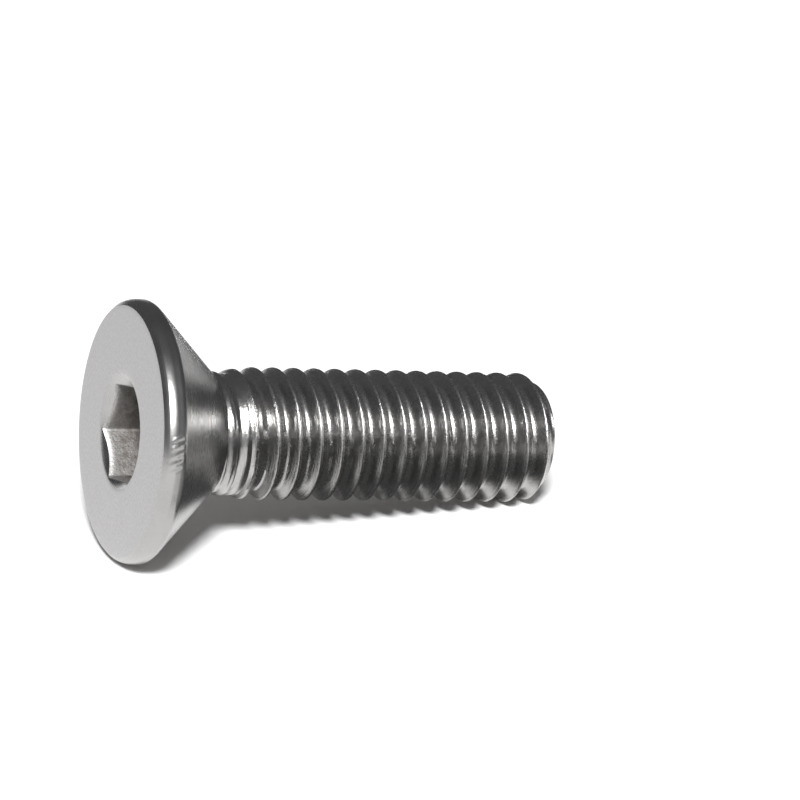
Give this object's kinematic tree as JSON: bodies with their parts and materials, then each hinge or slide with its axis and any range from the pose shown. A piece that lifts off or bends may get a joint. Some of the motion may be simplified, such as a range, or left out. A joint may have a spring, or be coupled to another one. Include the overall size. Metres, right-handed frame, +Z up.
{
  "type": "countersunk socket screw",
  "caption": "Countersunk screw with a flat head, a hexagon socket in its face and a metric coarse thread along the shank, lying on its side.",
  "frame": {"origin": "centre of the bounding box's underside, on the surface that the screw lies on", "axes": "+X along the screw as it lies, from the head to the end; +Z up; the screw's own axis lies in the XZ plane and dips 8.88 degrees towards +X"},
  "size_m": [0.0208, 0.0116, 0.0115],
  "materials": {
    "stainless": "bright rolled thread and cone, satin matte face, punched socket"
  },
  "bodies": {
    "root": {"screw": "stainless"}
  },
  "joints": []
}
